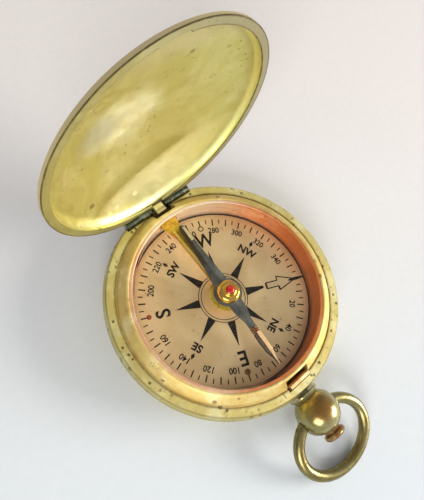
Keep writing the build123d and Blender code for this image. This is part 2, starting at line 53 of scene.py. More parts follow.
# ---------------------------------------------------------------- camera
def aimed(thing, place, target, up):
    """Put a camera or lamp at place, looking at target, with its top towards up."""
    forward = (target - place).normalized()
    right = forward.cross(up).normalized()
    turn = Matrix((right, right.cross(forward), -forward)).transposed()
    thing.matrix_world = Matrix.Translation(place) @ turn.to_4x4()


CAMERA_PLACE = Vector((-35.46, -6.284, 103.26)) * MM
CAMERA_TARGET = Vector((4.751, 9.272, 5.0)) * MM
CAMERA_UP = Vector((0.546, 0.7638, 0.3443))
CAMERA_LENS = 36.94
CAMERA_SENSOR = 36.0
camera = bpy.data.objects.new("camera", bpy.data.cameras.new("camera"))
scene.collection.objects.link(camera)
camera.data.lens = CAMERA_LENS
camera.data.sensor_width = CAMERA_SENSOR
camera.data.clip_start = 5 * MM
aimed(camera, CAMERA_PLACE, CAMERA_TARGET, CAMERA_UP)
scene.camera = camera


# ---------------------------------------------------------------- node materials
def tint(red, green, blue):
    """Linear colour from 0-255 display values."""
    linear = [v / 255 / 12.92 if v <= 10 else ((v / 255 + 0.055) / 1.055) ** 2.4 for v in (red, green, blue)]
    return (*linear, 1.0)


class Surface:
    """A material and the nodes that feed its Principled shader, all placed in the row frame.

    The methods take numbers, colours or node outputs and add the nodes they need. All but set, feed and
    bump, which connect things, return what they worked out as a node output.
    """

    def __init__(self, name, **sockets):
        self.material = bpy.data.materials.new(name)
        self.material.use_nodes = True
        self.tree = self.material.node_tree
        self.shader = self.tree.nodes["Principled BSDF"]
        self.place = self.tree.nodes.new("ShaderNodeTexCoord").outputs["Object"]
        for socket, value in sockets.items():
            self.set(socket.replace("_", " "), value)

    def set(self, socket, value):
        """Give one of the shader's sockets a value."""
        self.feed(self.shader.inputs[socket], value)

    def feed(self, target, value):
        """Link a node's output into a socket, or set the socket to a number or colour."""
        if isinstance(value, bpy.types.NodeSocket):
            self.tree.links.new(value, target)
        else:
            target.default_value = value

    def noise(self, scale, detail=4.0, rough=0.55, warp=0.0, at=None):
        node = self.tree.nodes.new("ShaderNodeTexNoise")
        self.feed(node.inputs["Vector"], at or self.place)
        node.inputs["Scale"].default_value = scale
        node.inputs["Detail"].default_value = detail
        node.inputs["Roughness"].default_value = rough
        node.inputs["Distortion"].default_value = warp
        return node.outputs["Fac"]

    def spots(self, scale, jitter=1.0):
        """Distance from the nearest of many scattered points, in cells."""
        node = self.tree.nodes.new("ShaderNodeTexVoronoi")
        self.feed(node.inputs["Vector"], self.place)
        node.inputs["Scale"].default_value = scale
        node.inputs["Randomness"].default_value = jitter
        return node.outputs["Distance"]

    def ramp(self, value, low, high, start=0.0, end=1.0):
        """value from low..high mapped smoothly onto start..end."""
        node = self.tree.nodes.new("ShaderNodeMapRange")
        node.interpolation_type = "SMOOTHSTEP"
        self.feed(node.inputs["Value"], value)
        node.inputs["From Min"].default_value = low
        node.inputs["From Max"].default_value = high
        node.inputs["To Min"].default_value = start
        node.inputs["To Max"].default_value = end
        return node.outputs["Result"]

    def window(self, value, begin, full, still, end):
        """0 up to begin, 1 from full to still, and 0 again from end."""
        return self.times(self.ramp(value, begin, full), self.ramp(value, end, still))

    def calc(self, operation, first, second=0.0, clamp=False):
        node = self.tree.nodes.new("ShaderNodeMath")
        node.operation = operation
        node.use_clamp = clamp
        self.feed(node.inputs[0], first)
        self.feed(node.inputs[1], second)
        return node.outputs[0]

    def times(self, product, *factors):
        for factor in factors:
            product = self.calc("MULTIPLY", product, factor)
        return product

    def plus(self, first, second):
        return self.calc("ADD", first, second)

    def minus(self, first, second):
        return self.calc("SUBTRACT", first, second)

    def most(self, first, second):
        return self.calc("MAXIMUM", first, second)

    def mm(self, metres):
        return self.times(metres, 1000.0)

    def length(self, across, along):
        return self.calc("SQRT", self.plus(self.times(across, across), self.times(along, along)))

    def swing(self, noise, amount):
        """Noise moved to run about zero, scaled by amount."""
        return self.times(self.minus(noise, 0.5), amount)

    def mix(self, share, first, second):
        """The first colour where share is 0, the second where it is 1."""
        node = self.tree.nodes.new("ShaderNodeMix")
        node.data_type = "RGBA"
        self.feed(node.inputs[0], share)
        self.feed(node.inputs[6], first)
        self.feed(node.inputs[7], second)
        return node.outputs[2]

    def paint(self, colour, where, strength, over):
        """Lay the colour over onto colour, at the strength given, where the mask says."""
        return self.mix(self.times(where, strength), colour, over)

    def axes(self):
        node = self.tree.nodes.new("ShaderNodeSeparateXYZ")
        self.feed(node.inputs[0], self.place)
        return node.outputs

    def vector(self, operation, first, second=(0.0, 0.0, 0.0)):
        node = self.tree.nodes.new("ShaderNodeVectorMath")
        node.operation = operation
        self.feed(node.inputs[0], first)
        self.feed(node.inputs[1], second)
        return node.outputs["Value" if operation == "LENGTH" else "Vector"]

    def away_from(self, x, y, z=None):
        """Distance in mm from a point, or from the upright line through it."""
        span = self.vector("SUBTRACT", self.place, (x * MM, y * MM, (z or 0.0) * MM))
        return self.vector("LENGTH", self.vector("MULTIPLY", span, (1000, 1000, 0 if z is None else 1000)))

    def stretched(self, x, y, z):
        """The place scaled by its own amount along each axis, for marks drawn out along one of them."""
        return self.vector("MULTIPLY", self.place, (x, y, z))

    def turned(self, height):
        """A place made of the distance from the upright axis and a height, so noise runs round the axis."""
        node = self.tree.nodes.new("ShaderNodeCombineXYZ")
        self.feed(node.inputs[0], self.times(self.away_from(0, 0), MM))
        self.feed(node.inputs[2], height)
        return node.outputs[0]

    def bump(self, height, depth_mm):
        node = self.tree.nodes.new("ShaderNodeBump")
        node.inputs["Distance"].default_value = depth_mm * MM
        node.inputs["Strength"].default_value = 1.0
        self.feed(node.inputs["Height"], height)
        self.set("Normal", node.outputs[0])


def aged_metal(name, main, pale, stain, pit, rough=(0.28, 0.5), blotch=140.0, stains=0.5, pits=0.5,
               pit_scale=420.0, metal=1.0, relief=0.005, extra=None):
    """Metal with drifting patina: pale and stained patches, pinhole pits, and a slightly uneven face.

    blotch and pit_scale are noise scales per metre, relief is in mm, and extra(surface, colour, marks)
    adds the marks that only this part has.
    """
    s = Surface(name, Metallic=metal)
    drift = s.noise(blotch, 6.0, 0.6, 0.6)
    colour = s.mix(s.ramp(drift, 0.42, 0.62), main, pale)
    cloud = s.noise(blotch * 2.3, 8.0, 0.68, 0.3)
    colour = s.paint(colour, s.ramp(cloud, 0.5, 0.72), stains, stain)
    holes = s.times(s.ramp(s.spots(pit_scale), 0.24, 0.12),
                    s.ramp(s.noise(pit_scale * 0.7, 2.0), 0.5, 0.62))
    specks = s.times(s.ramp(s.spots(pit_scale * 2.7), 0.24, 0.12),
                     s.ramp(s.noise(pit_scale * 0.5, 3.0), 0.5, 0.66))
    marks = s.most(holes, s.times(specks, 0.7))
    colour = s.paint(colour, marks, pits, pit)
    if extra:
        colour, marks = extra(s, colour, marks)
    s.set("Base Color", colour)
    grain = s.ramp(s.noise(blotch * 9, 5.0, 0.6), 0.3, 0.7, *rough)
    s.set("Roughness", s.calc("ADD", grain, s.times(marks, 0.25), clamp=True))
    s.bump(s.minus(s.times(s.noise(blotch * 4, 5.0, 0.6), 0.6), marks), relief)
    return s.material


def wear(name, material):
    """Give a CAD node this material on every slot."""
    slots = NODES[name].data.materials
    slots.clear()
    slots.append(material)


BRASS = tint(226, 208, 132)
BRASS_PALE = tint(242, 232, 172)
BRASS_OLIVE = tint(190, 166, 84)
BRASS_BROWN = tint(96, 72, 38)
COPPER = tint(226, 156, 112)
COPPER_PALE = tint(240, 192, 156)
COPPER_DARK = tint(176, 102, 56)
STAMP = (16.2, 10.6)  # the small ring stamped in the flange, mm


def case_marks(s, colour, marks):
    """The groove's grime, the worn flange, its pocks, scratch and stamp, and the rubbed underside."""
    x, y, z = s.axes()
    r = s.away_from(0, 0)
    upper = s.ramp(z, 0.0066, 0.0072)
    under = s.ramp(z, 0.0024, 0.0008)
    ragged = s.noise(700, 6.0, 0.7)

    grime = s.times(s.window(r, 21.25, 21.65, 21.8, 22.15), upper, s.ramp(ragged, 0.3, 0.55, 0.35, 1.0))
    colour = s.paint(colour, grime, 0.55, BRASS_BROWN)
    edge = s.window(r, 23.2, 23.42, 23.5, 23.8)
    colour = s.paint(colour, edge, 0.6, tint(120, 104, 60))
    side = s.ramp(r, 23.5, 23.9)
    colour = s.paint(colour, side, 0.7, tint(168, 160, 120))

    gap = s.plus(s.spots(620, 0.9), s.swing(s.noise(1800, 3.0), 0.3))
    pocks = s.times(s.ramp(gap, 0.24, 0.14), s.ramp(s.noise(120, 5.0), 0.46, 0.54), s.ramp(r, 20.6, 21.4))
    colour = s.paint(colour, pocks, 0.8, tint(78, 66, 34))
    marks = s.most(marks, pocks)

    beside = s.calc("ABSOLUTE", s.plus(s.mm(x), 4.1))
    scratch = s.times(s.ramp(beside, 0.12, 0.05), s.ramp(y, -0.0195, -0.0199), s.ramp(y, -0.0226, -0.0223),
                      upper)
    colour = s.paint(colour, scratch, 0.8, BRASS_BROWN)
    ring = s.times(s.window(s.away_from(*STAMP), 0.3, 0.42, 0.5, 0.62), upper)
    colour = s.paint(colour, ring, 0.7, BRASS_BROWN)

    rubbed = s.times(under, s.ramp(s.plus(r, s.times(ragged, 5.0)), 14.5, 10.5))
    colour = s.paint(colour, rubbed, 0.5, tint(238, 222, 160))
    hairlines = s.ramp(s.noise(60, 2.0, 0.5, at=s.stretched(24.0, 1.5, 1.0)), 0.62, 0.69)
    hairlines = s.times(hairlines, under, s.ramp(s.noise(80, 3.0), 0.42, 0.6))
    colour = s.paint(colour, hairlines, 0.55, tint(126, 104, 56))
    return colour, s.most(marks, s.most(ring, s.times(grime, 0.6)))


case_brass = aged_metal("case_brass", BRASS, BRASS_PALE, BRASS_OLIVE, BRASS_BROWN, (0.42, 0.6),
                        stains=0.4, pits=0.8, metal=0.9, extra=case_marks)

LID_OPEN = radians(94.8)  # how far the lid stands open at rest
HINGE_Y, HINGE_Z = 22.5, 8.4  # the lid's axis, mm
DOME_CURVE = 159.5  # the dome drops by r * r / DOME_CURVE, mm


def lid_marks(s, colour, marks):
    """Paint in the lid's own closed frame: in the dish a painted reflection of the lamp, a haze, and a
    painted reflection of the case's edge, dark on one side and bright on the other; a grey rim with a
    painted highlight inside it, grime and painted shade under the lip, and a pale worn crown with a browner
    edge outside."""
    x, y, z = s.axes()
    x = s.mm(x)
    up = s.minus(s.mm(z), HINGE_Z)
    back = s.minus(s.mm(y), HINGE_Y)
    along = s.plus(s.minus(s.times(back, cos(LID_OPEN)), s.times(up, sin(LID_OPEN))), HINGE_Y)
    depth = s.plus(s.times(back, sin(LID_OPEN)), s.times(up, cos(LID_OPEN)))
    r = s.length(x, along)
    dome = s.plus(depth, s.calc("DIVIDE", s.times(r, r), DOME_CURVE))
    inside = s.times(s.ramp(r, 21.45, 21.2), s.ramp(dome, 4.98, 4.86))
    outside = s.ramp(dome, 4.98, 5.05)

    def patch(cx, cy, wide, tall, soft):
        """A ragged oval in the dish, soft at its edge."""
        dx = s.calc("DIVIDE", s.minus(x, cx), wide)
        dy = s.calc("DIVIDE", s.minus(along, cy), tall)
        gap = s.plus(s.length(dx, dy), s.swing(s.noise(240, 5.0, 0.6), 0.9))
        return s.times(s.ramp(gap, 1.0 + soft, 1.0 - soft), inside)

    # painted reflection: a bright pale patch where the dish mirrors the lamp
    colour = s.paint(colour, patch(-5.0, -4.5, 6.5, 5.0, 0.5), 0.9, tint(252, 252, 206))
    colour = s.paint(colour, patch(-10.0, -5.0, 3.4, 3.2, 0.6), 0.6, tint(190, 190, 168))

    # Painted reflection of the case's edge across the dish: painted shade on one side of this line, a
    # painted bright reflection on the other.
    reflection_edge = s.minus(s.plus(along, s.times(x, 0.28)), 11.6)
    reflection_edge = s.plus(reflection_edge, s.swing(s.noise(130, 3.0), 1.6))
    sides = s.times(s.window(x, -16.0, -10.0, 6.0, 13.0), inside)
    # painted shade: the dark side of the reflected edge
    shade = s.times(s.window(reflection_edge, -5.5, -0.6, -0.3, 0.6), sides)
    colour = s.paint(colour, shade, 0.6, tint(158, 146, 62))
    ends = s.times(s.ramp(x, -15.0, -8.0), s.ramp(x, 14.0, 2.0, 0.25, 1.0))
    # painted bright reflection on the other side of the line
    painted_bright_reflection = s.times(s.ramp(reflection_edge, -0.2, 2.2), ends, inside)
    colour = s.paint(colour, painted_bright_reflection, 0.75, tint(252, 248, 196))
    colour = s.paint(colour, patch(6.0, -19.0, 14.0, 5.0, 0.5), 0.4, tint(206, 190, 148))

    rim = s.times(s.ramp(r, 21.35, 21.5), s.ramp(x, -16.0, 12.0, 0.25, 0.85))
    colour = s.mix(rim, colour, tint(158, 148, 116))
    # painted highlight: a bright line just inside the rim, on the +x side
    painted_rim_highlight = s.times(s.ramp(r, 20.7, 21.1), s.ramp(depth, 0.3, 0.6), s.ramp(x, 0.0, 8.0))
    colour = s.paint(colour, painted_rim_highlight, 0.7, tint(240, 236, 150))
    # grime and painted shade: a dark line in the undercut under the lip, heavier towards +x, and a dark line
    # at the outer edge
    lip = s.times(s.window(r, 21.1, 21.3, 21.42, 21.62), s.ramp(depth, 0.45, 0.25),
                  s.ramp(x, -12.0, 6.0, 0.2, 1.0))
    edge = s.times(s.ramp(r, 22.6, 22.8), s.ramp(depth, 0.4, 0.25))
    grime_and_painted_shade = s.times(s.most(lip, edge), s.ramp(s.noise(500, 5.0, 0.7), 0.25, 0.6, 0.4, 0.9))
    colour = s.mix(grime_and_painted_shade, colour, tint(92, 74, 36))

    ragged = s.times(s.noise(150, 6.0, 0.65), 16.0)
    brown = s.times(outside, s.ramp(s.plus(r, ragged), 22.0, 32.0))
    colour = s.paint(colour, outside, 0.6, tint(224, 204, 140))
    colour = s.paint(colour, brown, 0.4, tint(166, 136, 78))
    hairlines = s.ramp(s.noise(60, 2.0, 0.5, at=s.stretched(1.0, 24.0, 24.0)), 0.64, 0.7)
    hairlines = s.times(hairlines, outside, s.ramp(s.noise(90, 3.0), 0.45, 0.6))
    colour = s.paint(colour, hairlines, 0.5, tint(238, 230, 176))
    outer = s.times(s.ramp(depth, 0.25, 0.5), s.ramp(r, 21.9, 22.4))
    colour = s.paint(colour, outer, 0.75, tint(206, 182, 136))
    s.set("Metallic", s.ramp(outer, 0.0, 1.0, 0.9, 0.55))
    return colour, s.most(marks, s.times(grime_and_painted_shade, 0.5))


lid_brass = aged_metal("lid_brass", tint(198, 190, 110), tint(214, 208, 142), tint(176, 160, 82),
                       BRASS_BROWN, (0.38, 0.52), blotch=60.0, stains=0.35, pits=0.75, pit_scale=300.0,
                       metal=0.9, extra=lid_marks)
inner_brass = aged_metal("inner_brass", tint(196, 160, 84), tint(222, 196, 128), tint(140, 100, 48),
                         BRASS_BROWN, stains=0.6)
bezel_brass = aged_metal("bezel_brass", tint(214, 186, 112), tint(230, 210, 150), tint(176, 132, 72),
                         BRASS_BROWN, (0.5, 0.62), stains=0.5, pits=0.6, metal=0.8)


def copper_marks(s, colour, marks):
    """Painted light: pinker and paler towards the hinge; painted shade: browner by the catch; with darker
    lines running round the wall.
    """
    x, y, z = s.axes()
    far = s.minus(s.times(y, 0.75), s.times(x, 0.65))
    # painted light: the wall paler and pinker on the side towards the hinge
    pale = s.times(s.ramp(far, -0.003, 0.008, 0.0, 0.95), s.ramp(x, -0.012, 0.001, 0.25, 1.0))
    colour = s.mix(pale, colour, tint(250, 230, 204))
    # painted shade: the wall darker brown-orange on the side by the catch
    colour = s.mix(s.ramp(far, -0.001, -0.011, 0.0, 0.8), colour, tint(204, 108, 36))
    lines = s.noise(900, 3.0, 0.6, at=s.turned(z))
    colour = s.mix(s.ramp(lines, 0.52, 0.7, 0.0, 0.4), colour, tint(150, 88, 52))
    return colour, marks


copper = aged_metal("copper_wall", COPPER, COPPER_PALE, COPPER_DARK, tint(96, 52, 36), (0.32, 0.46),
                    stains=0.4, pits=0.5, metal=0.7, relief=0.002, extra=copper_marks)
wire_brass = aged_metal("wire_brass", tint(132, 84, 50), tint(170, 116, 74), tint(84, 54, 34),
                        tint(56, 38, 26), (0.3, 0.42), metal=0.9)
catch_brass = aged_metal("catch_brass", tint(204, 164, 112), tint(226, 198, 150), tint(150, 108, 66),
                         BRASS_BROWN, (0.4, 0.55), metal=0.8)


def lever_marks(s, colour, marks):
    """Painted highlight along the south side, painted shade on the other flank and in a thin line at the
    south edge, dark tail and a grimed foot.
    """
    x, y, _ = s.axes()
    across = s.minus(s.mm(x), 0.1)
    along = s.mm(y)
    arm = s.window(along, 2.4, 3.2, 15.6, 17.6)
    # painted highlight along the south side of the arm
    rubbed = s.times(s.window(across, -0.62, -0.45, -0.18, 0.0), arm)
    colour = s.paint(colour, rubbed, 0.85, tint(255, 236, 138))
    # painted shade over the other flank
    painted_shade_flank = s.times(s.ramp(across, 0.0, 0.14), arm)
    colour = s.paint(colour, painted_shade_flank, 0.85, tint(150, 116, 24))
    # painted shade: a thin orange-brown line at the south edge
    corner = s.times(s.ramp(across, -0.56, -0.72), arm)
    colour = s.paint(colour, corner, 0.8, tint(206, 124, 30))
    foot = s.times(s.ramp(along, 15.5, 17.0), s.ramp(s.noise(900, 5.0, 0.7), 0.5, 0.62))
    colour = s.paint(colour, foot, 0.65, tint(172, 124, 20))
    ring = s.times(s.ramp(s.away_from(0, 0), 2.5, 3.2), s.ramp(along, 3.0, 1.0))
    colour = s.paint(colour, ring, 0.6, tint(255, 226, 120))
    colour = s.mix(s.ramp(along, 19.4, 20.1), colour, tint(46, 30, 18))
    return colour, marks


lever_brass = aged_metal("lever_brass", tint(250, 200, 58), tint(252, 220, 100), tint(226, 166, 44),
                         tint(120, 84, 32), (0.26, 0.4), stains=0.2, pits=0.2, metal=0.5, relief=0.002,
                         extra=lever_marks)
hinge_steel = aged_metal("hinge_steel", tint(92, 98, 84), tint(150, 156, 140), tint(52, 54, 44),
                         tint(34, 32, 26), (0.18, 0.34), blotch=260.0, stains=0.8)
grey_steel = aged_metal("grey_steel", tint(150, 150, 142), tint(196, 194, 184), tint(104, 98, 86),
                        tint(66, 58, 46), (0.28, 0.45), stains=0.5)
cap_brass = aged_metal("cap_brass", tint(240, 190, 84), tint(250, 222, 140), tint(196, 140, 56),
                       tint(96, 64, 30), (0.14, 0.24), stains=0.3, pits=0.2, relief=0.001)

BALL_CROWN = (-0.4, -27.6, 10.0)  # the ball's tarnished top, mm
BALL_RUBBED = (-2.6, -26.2, 8.6)  # where fingers have rubbed it yellow, mm


def pendant_marks(s, colour, marks):
    """Brown tarnish over the ball's crown, yellow where it is rubbed, and a browner button."""
    ragged = s.noise(900, 6.0, 0.7)
    crown = s.ramp(s.plus(s.away_from(*BALL_CROWN), s.times(ragged, 2.6)), 5.4, 2.6)
    colour = s.paint(colour, crown, 0.85, tint(146, 100, 38))
    yellow = s.ramp(s.away_from(*BALL_RUBBED), 2.4, 0.9)
    colour = s.paint(colour, yellow, 0.45, tint(190, 158, 54))
    _, y, _ = s.axes()
    button = s.times(s.ramp(y, -0.0318, -0.0324), s.ramp(ragged, 0.4, 0.6, 0.3, 0.8))
    colour = s.mix(button, colour, tint(158, 98, 52))
    return colour, marks


pendant_brass = aged_metal("pendant_brass", tint(146, 138, 88), tint(166, 160, 114), tint(122, 96, 46),
                           tint(74, 52, 26), (0.2, 0.3), blotch=120.0, stains=0.5, pits=0.4, metal=0.8,
                           relief=0.002, extra=pendant_marks)
bow_brass = aged_metal("bow_brass", tint(136, 124, 78), tint(152, 142, 98), tint(104, 78, 42),
                       tint(70, 54, 28), (0.26, 0.36), blotch=110.0, stains=0.5, pits=0.3, relief=0.002)


# ---------------------------------------------------------------- needle, glass, dial and floor materials
NEEDLE_AZ = radians(86.2)  # azimuth of the needle's broad arm at rest


def needle_axes(s):
    """Distance along the needle and across it, in mm, from the spindle."""
    x, y, _ = s.axes()
    along = s.mm(s.plus(s.times(x, cos(NEEDLE_AZ)), s.times(y, sin(NEEDLE_AZ))))
    across = s.mm(s.minus(s.times(y, cos(NEEDLE_AZ)), s.times(x, sin(NEEDLE_AZ))))
    return along, across


def blade_steel():
    """Blued steel gone grey, its two flanks ground to a shallow ridge, with painted strips past the wire."""
    s = Surface("blade_steel", Metallic=0.85)
    along, across = needle_axes(s)
    cloud = s.noise(420, 6.0, 0.65)
    colour = s.mix(s.ramp(cloud, 0.3, 0.7), tint(92, 94, 88), tint(126, 126, 116))
    rust = s.ramp(s.noise(900, 5.0, 0.7), 0.56, 0.72)
    colour = s.paint(colour, rust, 0.6, tint(98, 80, 58))
    left = s.ramp(across, -0.05, 0.05)
    brown = s.times(left, s.ramp(along, 6.2, 7.4))
    colour = s.paint(colour, brown, 0.85, tint(84, 66, 48))
    far = s.ramp(along, -9.3, -9.6)
    colour = s.paint(colour, far, 0.92, s.mix(left, tint(214, 178, 130), tint(72, 58, 44)))
    s.set("Base Color", colour)
    s.set("Roughness", s.plus(s.ramp(cloud, 0.3, 0.7, 0.3, 0.44), s.times(far, 0.25)))
    ridge = s.times(s.calc("ABSOLUTE", across), -0.22)
    s.bump(s.plus(ridge, s.times(s.noise(1600, 4.0), 0.006)), 1.0)
    return s.material


def inlay_paint():
    """Old cream paint on one side of the needle's middle line and dark paint on the other."""
    s = Surface("inlay_paint", Specular_IOR_Level=0.3)
    _, across = needle_axes(s)
    grain = s.noise(1800, 4.0, 0.6)
    dark = s.mix(s.ramp(grain, 0.35, 0.65), tint(70, 54, 40), tint(100, 82, 62))
    cream = s.mix(s.ramp(grain, 0.3, 0.7), tint(196, 168, 118), tint(222, 202, 158))
    s.set("Base Color", s.mix(s.ramp(across, -0.06, 0.06), cream, dark))
    s.set("Roughness", s.ramp(grain, 0.3, 0.7, 0.5, 0.75))
    s.bump(grain, 0.012)
    return s.material


def ruby():
    s = Surface("ruby", IOR=1.5, Coat_Weight=0.25, Coat_Roughness=0.05)
    cloud = s.noise(1500, 3.0)
    s.set("Base Color", s.mix(s.ramp(cloud, 0.35, 0.65), tint(188, 12, 12), tint(232, 48, 38)))
    s.set("Roughness", s.ramp(cloud, 0.3, 0.7, 0.08, 0.2))
    return s.material


def clear_glass():
    """Clear crystal, transparent to shadow and diffuse rays, so that light reaches what is under it."""
    s = Surface("crystal_glass", Transmission_Weight=1.0, IOR=1.2)
    smear = s.noise(90, 4.0, 0.6, 0.8)
    s.set("Roughness", s.ramp(smear, 0.4, 0.75, 0.0, 0.03))
    tree = s.tree
    clear = tree.nodes.new("ShaderNodeBsdfTransparent")
    clear.inputs["Color"].default_value = (0.97, 0.975, 0.96, 1.0)
    path = tree.nodes.new("ShaderNodeLightPath")
    both = tree.nodes.new("ShaderNodeMixShader")
    s.feed(both.inputs[0], s.most(path.outputs["Is Shadow Ray"], path.outputs["Is Diffuse Ray"]))
    s.feed(both.inputs[1], s.shader.outputs[0])
    s.feed(both.inputs[2], clear.outputs[0])
    s.feed(tree.nodes["Material Output"].inputs["Surface"], both.outputs[0])
    return s.material


def dial_face():
    """Silvered dial gone champagne, with faint concentric turning, foxing and a browner rim."""
    s = Surface("dial_face", Metallic=0.55)
    drift = s.noise(110, 6.0, 0.6, 0.8)
    colour = s.mix(s.ramp(drift, 0.38, 0.64), tint(230, 198, 144), tint(240, 212, 162))
    fox = s.ramp(s.noise(520, 7.0, 0.72), 0.56, 0.74)
    colour = s.paint(colour, fox, 0.4, tint(162, 132, 98))
    r = s.away_from(0, 0)
    colour = s.mix(s.ramp(r, 16.6, 18.6, 0.0, 0.5), colour, tint(170, 132, 96))
    dots = s.times(s.ramp(s.spots(260), 0.13, 0.07), s.ramp(s.noise(160, 2.0), 0.5, 0.6))
    colour = s.paint(colour, dots, 0.6, tint(120, 90, 60))
    s.set("Base Color", colour)
    turning = s.calc("SINE", s.times(r, 42.0))
    s.set("Roughness", s.plus(s.ramp(drift, 0.3, 0.7, 0.4, 0.52), s.times(turning, 0.01)))
    s.bump(s.plus(s.noise(1500, 5.0), s.times(turning, 0.08)), 0.006)
    return s.material


def print_ink(name, dark, faded):
    s = Surface(name, Specular_IOR_Level=0.2)
    worn = s.noise(1300, 5.0, 0.65)
    s.set("Base Color", s.mix(s.ramp(worn, 0.45, 0.72), dark, faded))
    s.set("Roughness", s.ramp(worn, 0.3, 0.7, 0.42, 0.62))
    return s.material


def floor_paper():
    """White paper, with painted light: a little cooler on the near side."""
    s = Surface("floor_paper", Specular_IOR_Level=0.2)
    x, y, _ = s.axes()
    back = s.plus(s.times(x, 0.58), s.times(y, 0.81))
    # painted light: cooler light on the near side, warmer on the far side
    base = s.mix(s.ramp(back, -0.07, 0.07), tint(208, 215, 219), tint(225, 218, 213))
    fibre = s.noise(600, 5.0, 0.6)
    s.set("Base Color", s.mix(s.ramp(fibre, 0.3, 0.7, 0.0, 0.12), base, tint(200, 197, 194)))
    s.set("Roughness", s.ramp(fibre, 0.3, 0.7, 0.7, 0.85))
    s.bump(s.noise(900, 4.0), 0.01)
    return s.material


for material, nodes in (
    (case_brass, ("case_shell", "lifter_block")),
    (inner_brass, ("base_spacer", "dial_spacer")),
    (bezel_brass, ("bezel_ring",)),
    (copper, ("capsule_cup", "crystal_ring")),
    (dial_face(), ("dial_plate",)),
    (clear_glass(), ("crystal",)),
    (blade_steel(), ("needle_blade",)),
    (inlay_paint(), ("needle_inlays",)),
    (wire_brass, ("balance_wire",)),
    (cap_brass, ("needle_cap",)),
    (ruby(), ("cap_jewel",)),
    (lever_brass, ("lifter_lever",)),
    (hinge_steel, ("case_knuckles", "lid_knuckles", "hinge_pins")),
    (lid_brass, ("lid_shell",)),
    (catch_brass, ("catch_nose",)),
    (pendant_brass, ("pendant_tube", "pendant_ball", "push_button")),
    (bow_brass, ("bow",)),
    (grey_steel, ("pivot_boss", "boss_base_plate", "pivot_post", "lift_washer", "lifter_pin",
                  "lifter_spring", "catch_spring", "catch_spring_screws", "lid_spring",
                  "lid_spring_screw", "button_spring")),
):
    for node in nodes:
        wear(node, material)


# ---------------------------------------------------------------- dial print
DIAL_Z = 5.0
PRINT_BOTTOM = DIAL_Z - 0.01
PRINT_TOP = DIAL_Z + 0.012
NORTH = -22.0  # azimuth of bearing 0 on the card

# Distances out from the card's middle: the first two in mm, the rest as shares of DIAL_UNIT.
DIAL_UNIT = 17.19  # radius of the circle that the ticks reach
EDGE_LINE = (18.22, 18.48)
TICK_EVERY_5, TICK_EVERY_10 = 0.945, 0.918  # where the short and the longer ticks begin
STAR_RINGS = ((0.262, 0.271), (0.292, 0.301))
STAR_ROOT, STAR_TIP, STAR_STUB = 0.30, 0.60, 0.525  # the stub is the north arm's cut-off end
DIAMOND = (0.742, 0.782, 0.826)
NUMBER_BAND = (0.818, 0.892)
LETTER_BAND = (0.652, 0.828)
SMALL_LETTER_BAND = (0.625, 0.723)

STAR_HALF = 0.84  # half the width of an arm's root, mm
DIAMOND_HALF = 0.38  # mm
LETTER_WEIGHT, SMALL_LETTER_WEIGHT = 0.022, 0.038  # how far the font's outline is thickened


def azimuth(bearing):
    return radians(NORTH - bearing)


def spot(bearing, share, sideways=0.0):
    """Point on the card at a bearing and a share of the tick circle, moved clockwise by sideways mm."""
    a = azimuth(bearing)
    out = share * DIAL_UNIT
    return Vector((out * cos(a) + sideways * sin(a), out * sin(a) - sideways * cos(a)))


def finished(name, bm, material, body):
    """Turn a bmesh into a piece that rides on a body."""
    mesh = bpy.data.meshes.new(name)
    bm.normal_update()
    bm.to_mesh(mesh)
    bm.free()
    piece = bpy.data.objects.new(name, mesh)
    scene.collection.objects.link(piece)
    mesh.materials.append(material)
    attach(piece, body)


def plates(name, outlines, material):
    """Thin printed plates, one per outline (mm, either way round), as one piece."""
    bm = bmesh.new()
    for outline in outlines:
        area = sum(a[0] * b[1] - b[0] * a[1] for a, b in zip(outline, outline[1:] + outline[:1]))
        ring = outline if area > 0 else outline[::-1]
        high = [bm.verts.new((p[0] * MM, p[1] * MM, PRINT_TOP * MM)) for p in ring]
        low = [bm.verts.new((p[0] * MM, p[1] * MM, PRINT_BOTTOM * MM)) for p in ring]
        bm.faces.new(high)
        bm.faces.new(low[::-1])
        for i in range(len(ring)):
            j = (i + 1) % len(ring)
            bm.faces.new((high[i], low[i], low[j], high[j]))
    finished(name, bm, material, "case")


def around(centre, radius, steps):
    """Points of a circle, in steps equal parts."""
    return [(centre[0] + radius * cos(2 * pi * i / steps), centre[1] + radius * sin(2 * pi * i / steps))
            for i in range(steps)]


def band(inner, outer, steps=96, centre=(0.0, 0.0)):
    """A printed ring as short quads end to end."""
    ins, outs = around(centre, inner, steps), around(centre, outer, steps)
    return [[ins[i - 1], outs[i - 1], outs[i], ins[i]] for i in [*range(1, steps), 0]]


def stroke(start, end, width):
    """A straight printed line between two points."""
    side = (end - start).normalized().orthogonal() * width / 2
    return [start - side, end - side, end + side, start + side]


